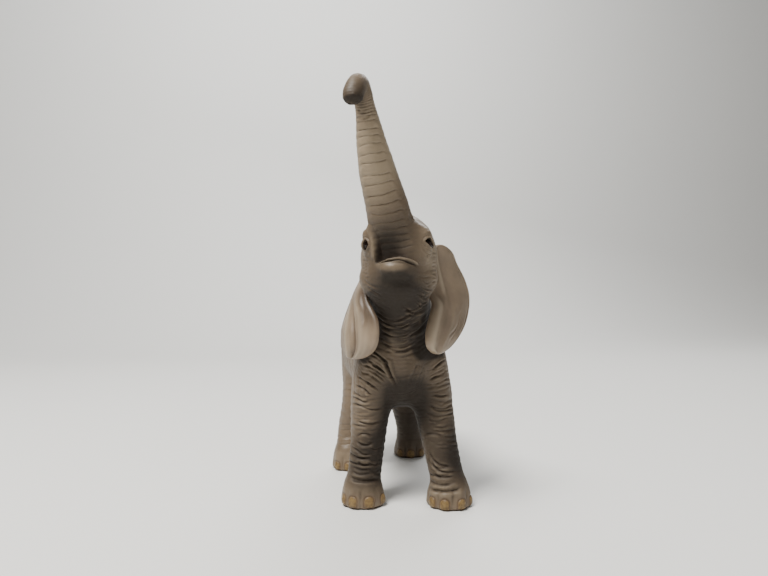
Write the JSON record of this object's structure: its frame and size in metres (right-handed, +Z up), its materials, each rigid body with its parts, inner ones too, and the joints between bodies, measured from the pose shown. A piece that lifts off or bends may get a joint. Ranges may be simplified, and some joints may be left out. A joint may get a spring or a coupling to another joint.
{
  "type": "toy elephant calf figure",
  "caption": "Free-standing soft-vinyl elephant calf figure in a trumpeting pose with its trunk raised and ears spread, for pretend play.",
  "frame": {"origin": "centre of the figure's footprint box, on the surface that it stands on", "axes": "+Z up; the calf faces -Y, with its own left side at +X"},
  "size_m": [0.0476, 0.116, 0.1294],
  "materials": {
    "skin": "satin moulded vinyl, brown-grey with a darker wash in its folds",
    "ear_skin": "satin moulded vinyl, a little lighter and warmer than the body",
    "eye_gloss": "high gloss, near-black brown"
  },
  "bodies": {
    "root": {"torso": "skin", "head": "skin", "trunk": "skin", "leg_front_left": "skin", "leg_front_right": "skin", "leg_hind_left": "skin", "leg_hind_right": "skin", "tail": "skin", "ear_left": "ear_skin", "ear_right": "ear_skin", "eye_left": "eye_gloss", "eye_right": "eye_gloss"}
  },
  "joints": []
}
